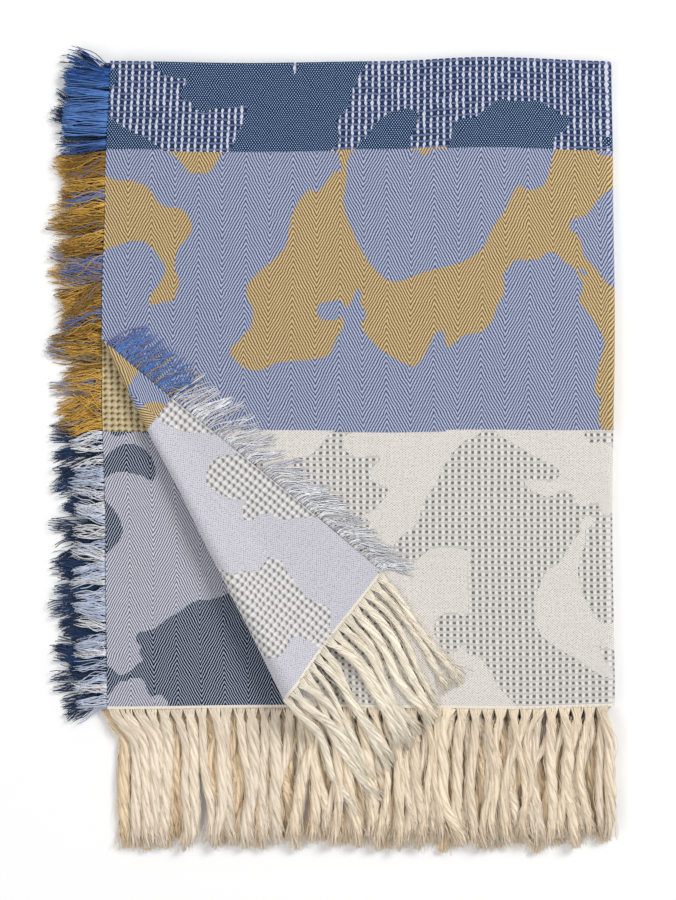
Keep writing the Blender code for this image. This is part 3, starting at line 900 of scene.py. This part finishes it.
def make_side_fringe(name, edge, node, seed):
    """The loose yarns of one long edge, gathered into uneven tufts."""
    chance = np.random.default_rng(seed)
    parts = []
    for layer, start, end in stretches(edge):
        kind = SIDE_LAYERS[layer]
        count = int((end - start - 2 * BARE_END) / SIDE_YARN_PITCH)
        along = np.sort(chance.uniform(start + BARE_END, end - BARE_END, count))
        tuft = (along / kind["pitch"]).astype(int)
        tufts = int(tuft.max()) + 1
        up = lay(*on_edge(edge, along, 0.0), np.zeros_like(along))[:, 1]
        neat = ((up > BLUE_BAND_END) & (layer == "top")).astype(float)
        if layer == "corner":
            loose = CORNER_STRAY + CORNER_STRAY_PAST_CREAM * (along > CREAM_BAND_END)
        else:
            loose = 1 - NEAT_CALM * neat
        ragged = chance.uniform(kind["shortest"], 1.0, tufts)[tuft]
        ragged = ragged * chance.uniform(SHORTEST_YARN, 1.0, count)
        ragged = np.where(neat > 0, chance.uniform(NEAT_SHORTEST, 1.0, count), ragged)
        if layer == "second":
            full = eased((up - SECOND_CUT_FROM) / SECOND_CUT_SPAN)
            ragged = ragged * (1 - SECOND_CUT + SECOND_CUT * full)
        droop = DROOP * eased((DROOP_FROM - up) / DROOP_SPAN) if layer == "top" else np.zeros(count)
        apart = TUFT_GATHER + FRONT_GATHER * eased((FRONT_GATHER_FROM - up) / FRONT_GATHER_SPAN)
        to_middle = (tuft + 0.5) * kind["pitch"] - along
        lean = chance.normal(0, TUFT_LEAN, tufts)[tuft] + chance.normal(0, YARN_LEAN, count)
        yarns = {
            "along": along,
            "length": kind["length"] * ragged,
            "lean": lean * loose + droop,
            "gather": to_middle * apart * chance.uniform(LEAST_GATHER, 1.0, tufts)[tuft] * loose**2,
            "curl": chance.normal(0, YARN_CURL, (count, 2)) * loose[:, None],
            "wave": chance.normal(0, YARN_WAVE, count) * loose,
            "phase": chance.uniform(0, math.tau, count),
            "loft": chance.uniform(*YARN_LOFTS, count),
        }
        paths = yarn_paths(edge, layer, yarns, SIDE_SHARES)
        thin = 1 - YARN_TAPER * eased((SIDE_SHARES - TAPER_START) / TAPER_SPAN)
        radius = (chance.uniform(*YARN_RADII, count) * (1 + NEAT_SWELL * neat))[:, None] * thin
        place = along if layer == "corner" else up
        parts.append(sweep(paths, radius, radius, side_tints(layer, place, tuft, chance)))
    piece = make_yarns(name, parts)
    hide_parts(node)
    return piece


side_fringes = [
    make_side_fringe("side_fringe_upper", "left", "side_fringe_left", 21),
    make_side_fringe("side_fringe_lower", "right", "side_fringe_right", 22),
]
side_yarn = yarn_material("Side yarn", contrast=0.5)
for fringe in side_fringes:
    fringe.data.materials.append(side_yarn)

# End fringe. The lengthwise yarns, a hand's length, left loose at both short edges: soft cream yarn without
# dye in thick locks. Each lock fans out flat where it leaves the cloth, winds four soft plies round each
# other and frays at its tip, with stray fibres all along it.

END_FRINGE_LENGTH = 0.169
LOCK_MARGIN = 0.004
# Each layer's locks have a cream of their own, as painted light and shade on the one yarn: the turned
# corner's lightest, the third and bottom layers' darker and warmer
LOCKS = {
    "corner": {"pitch": 0.0118, "half_width": 0.0042, "half_height": 0.0032, "dye": dye(253, 244, 226)},
    "top": {"pitch": 0.0142, "half_width": 0.0055, "half_height": 0.0034, "dye": dye(251, 235, 211)},
    "second": {"pitch": 0.0145, "half_width": 0.0060, "half_height": 0.0028, "dye": dye(251, 237, 216)},
    "third": {"pitch": 0.0145, "half_width": 0.0064, "half_height": 0.0024, "dye": dye(250, 227, 193)},
    "bottom": {"pitch": 0.0145, "half_width": 0.0064, "half_height": 0.0020, "dye": dye(250, 227, 193)},
}
# Steps along a lock, closest together where it fans out at the heading
HEADING_SHARES = np.array((0, 0.035, 0.075, 0.13, 0.19))
END_SHARES = np.concatenate((HEADING_SHARES, np.linspace(0.26, 0.68, 7), np.linspace(0.76, 1, 4)))
FAN_SHARE = 0.11
SWELL_SHARE = 0.12
FRAY_START = 0.80
FRAY_SPAN = 0.20
# Where along a lock its fanned yarns sink into it, and how much thinner they are from there
SUNK_START = 0.08
SUNK_SPAN = 0.20
FAN_SUNK = 0.85
# How the locks differ: height, width, length, twist, shade, and how far they turn, move aside and rise
LOCK_HEIGHTS = (0.80, 1.10)
LOCK_WIDTHS = (0.68, 1.25)
SHORTEST_LOCK = 0.90
LOCK_TWISTS = (7.0, 12.0)
LOCK_SHADES = (0.92, 1.0)
LOCK_LEAN = 0.090
LOCK_CURL = 0.14
LOCK_WAVE = 0.13
LOCK_GATHER = 0.0018
LOCK_RISE = 0.0016
# Locks of the turned corner stray by this share of the others, and those at the pile's left corner less
TURNED_STRAY = 0.75
LEFT_CALM = 0.75
LEFT_CALM_SPAN = 0.04
# A ply's size and its distance from the middle, as shares of its lock's
PLY_SIDES = 5
PLIES = 4
PLY_TWIST = 60.0
PLY_OFFSET = {"across": 0.50, "up": 0.42}
PLY_SIZE = {"across": 0.52, "up": 0.58}
PLY_ROOT = 0.30
PLY_FRAY = 0.70
# How the strands differ, and how far they part, shorten and thin towards the tip
STRAND_SHADES = (0.93, 1.0)
STRAND_REACHES = (0.85, 1.20)
STRAND_RADII = (0.85, 1.15)
HIGHEST_REACH = 1.1
STRAY_HALF_TURNS = 3.1
TIP_SPREAD = 0.0046
TIP_LENGTHS = (-0.006, 0.003)
TIP_TAPER = 0.4
STRANDS = (
    {"kind": "fan", "number": 14, "first": 0, "last": 7, "radius": 0.00125, "reach": 0.78, "stray": 0.0},
    {"kind": "long", "number": 9, "first": 2, "last": 16, "radius": 0.00032, "reach": 1.12, "stray": 0.0014},
    {"kind": "tip", "number": 20, "first": 11, "last": 16, "radius": 0.00046, "reach": 0.80, "stray": 0.0010},
)


def make_end_fringe(name, edge, node, seed):
    """The locks of one short edge: thick plies wound round a spine, and fine strands along them."""
    chance = np.random.default_rng(seed)
    parts = []
    swell = eased(END_SHARES / SWELL_SHARE)
    fan = 1 - eased(END_SHARES / FAN_SHARE)
    fray = eased((END_SHARES - FRAY_START) / FRAY_SPAN)
    sunk = eased((END_SHARES - SUNK_START) / SUNK_SPAN)
    for layer, start, end in stretches(edge):
        lock = LOCKS[layer]
        locks = max(1, int((end - start) / lock["pitch"]))
        middle = start + (np.arange(locks) + 0.5) * (end - start) / locks
        tall = lock["half_height"] * chance.uniform(*LOCK_HEIGHTS, locks)
        half = lock["half_width"] * chance.uniform(*LOCK_WIDTHS, locks)
        cream_with_painted_shading = np.array(lock["dye"][:3])
        from_left = lay(*on_edge(edge, middle, 0.0), 0 * middle)[:, 0]
        calm = LEFT_CALM * eased((END_CORNER_REACH - from_left) / LEFT_CALM_SPAN)
        steady = np.full(locks, TURNED_STRAY) if layer == "corner" else 1 - calm
        spine = yarn_paths(edge, layer, {
            "along": np.clip(middle, start + LOCK_MARGIN, end - LOCK_MARGIN),
            "length": END_FRINGE_LENGTH * chance.uniform(SHORTEST_LOCK, 1.0, locks),
            "lean": chance.normal(0, LOCK_LEAN, locks) * steady,
            "gather": chance.normal(0, LOCK_GATHER, locks),
            "curl": chance.normal(0, LOCK_CURL, (locks, 2)) * steady[:, None],
            "wave": chance.normal(0, LOCK_WAVE, locks) * steady,
            "phase": chance.uniform(0, math.tau, locks),
            "loft": tall - CLOTH_THICKNESS / 2 + chance.uniform(0, LOCK_RISE, locks),
        }, END_SHARES)
        side, over, forward = directions(spine)
        shade = chance.uniform(*LOCK_SHADES, locks)
        twist = chance.uniform(*LOCK_TWISTS, locks)
        turns = math.tau * chance.random(locks)
        for ply in range(PLIES):
            wound = (turns + math.tau * ply / PLIES)[:, None] + twist[:, None] * END_SHARES
            level = half[:, None] * PLY_OFFSET["across"] * swell * np.cos(wound)
            height = tall[:, None] * PLY_OFFSET["up"] * swell * np.sin(wound)
            paths = spine + side * level[..., None] + over * height[..., None]
            full = (PLY_ROOT + (1 - PLY_ROOT) * swell) * (1 - PLY_FRAY * fray)
            parts.append(sweep(
                paths[:, 1:],
                (half[:, None] * PLY_SIZE["across"] * full)[:, 1:],
                (tall[:, None] * PLY_SIZE["up"] * full)[:, 1:],
                cream_with_painted_shading * (shade * chance.uniform(*STRAND_SHADES, locks))[:, None],
                sides=PLY_SIDES,
                twist=PLY_TWIST,
            ))
        for kind in STRANDS:
            part = slice(kind["first"], kind["last"])
            for yarn in range(kind["number"]):
                turn = turns + math.tau * (yarn + chance.random(locks)) / kind["number"]
                wound = turn[:, None] + twist[:, None] * END_SHARES
                reach = kind["reach"] * chance.uniform(*STRAND_REACHES, locks)
                level = (half * reach)[:, None] * swell * np.cos(wound)
                spread = (1 - 2 * np.arccos(np.cos(turn)) / math.pi) * lock["pitch"] / 2
                level = level * (1 - fan) + spread[:, None] * fan
                level = level + chance.normal(0, TIP_SPREAD, locks)[:, None] * fray
                phase = chance.uniform(0, math.tau, (locks, 1))
                waver = np.sin(math.pi * STRAY_HALF_TURNS * END_SHARES + phase)
                level = level + kind["stray"] * chance.normal(0, 1, (locks, 1)) * waver
                height = (tall * np.minimum(reach, HIGHEST_REACH))[:, None] * swell * np.sin(wound)
                paths = spine + side * level[..., None] + over * height[..., None]
                longer = chance.uniform(*TIP_LENGTHS, locks)[:, None] * fray
                paths = paths + forward * longer[..., None]
                radius = kind["radius"] * chance.uniform(*STRAND_RADII, locks)[:, None]
                radius = radius * (1 - TIP_TAPER * fray)
                if kind["kind"] == "fan":
                    radius = radius * (1 - FAN_SUNK * sunk)
                tints = cream_with_painted_shading * (shade * chance.uniform(*STRAND_SHADES, locks))[:, None]
                parts.append(sweep(paths[:, part], radius[:, part], radius[:, part], tints))
    piece = make_yarns(name, parts)
    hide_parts(node)
    return piece


end_fringes = [
    make_end_fringe("end_fringe_outer", "front", "end_fringe_front", 31),
    make_end_fringe("end_fringe_inner", "back", "end_fringe_back", 32),
]
end_yarn = yarn_material("End yarn", contrast=0.34)
for fringe in end_fringes:
    fringe.data.materials.append(end_yarn)

# The setting. The throw lies on a plain white floor, in soft light from above and the right, and the camera
# looks straight down on it.

FLOOR_SIZE = 6.0
LENS = 85
SENSOR = 36
VIEW_LENGTH = 1.044
LIGHTS = (
    {"name": "Large soft light", "place": (3.2, 2.2, 3.4), "size": 2.0, "power": 176},
    {"name": "Fill light", "place": (-3.0, -1.6, 3.4), "size": 3.0, "power": 66},
)

floor = make_mesh(
    "floor",
    [(across * FLOOR_SIZE, along * FLOOR_SIZE, 0) for across, along in ((-1, -1), (1, -1), (1, 1), (-1, 1))],
    [(0, 1, 2, 3)],
)
floor_material, floor_shader = new_material("Floor", roughness=0.95, sheen=0.0)
floor_shader.inputs["Base Color"].default_value = (0.97, 0.97, 0.97, 1)
floor.data.materials.append(floor_material)

for light in LIGHTS:
    data = bpy.data.lights.new(light["name"], "AREA")
    data.shape = "DISK"
    data.size = light["size"]
    data.energy = light["power"]
    lamp = bpy.data.objects.new(light["name"], data)
    lamp.location = light["place"]
    lamp.rotation_euler = Vector(light["place"]).to_track_quat("Z", "Y").to_euler()
    bpy.context.scene.collection.objects.link(lamp)

world = bpy.data.worlds.new("Studio")
world.use_nodes = True
world.node_tree.nodes["Background"].inputs["Color"].default_value = (1, 1, 1, 1)
world.node_tree.nodes["Background"].inputs["Strength"].default_value = 0.46
bpy.context.scene.world = world
bpy.context.scene.view_settings.view_transform = "Standard"

camera_data = bpy.data.cameras.new("Overhead camera")
camera_data.lens = LENS
camera_data.sensor_width = SENSOR
camera = bpy.data.objects.new("Overhead camera", camera_data)
camera.location = (0.0130, 0.0083, VIEW_LENGTH * LENS / SENSOR + TOP_LAYER_HEIGHT)
bpy.context.scene.collection.objects.link(camera)
bpy.context.scene.camera = camera
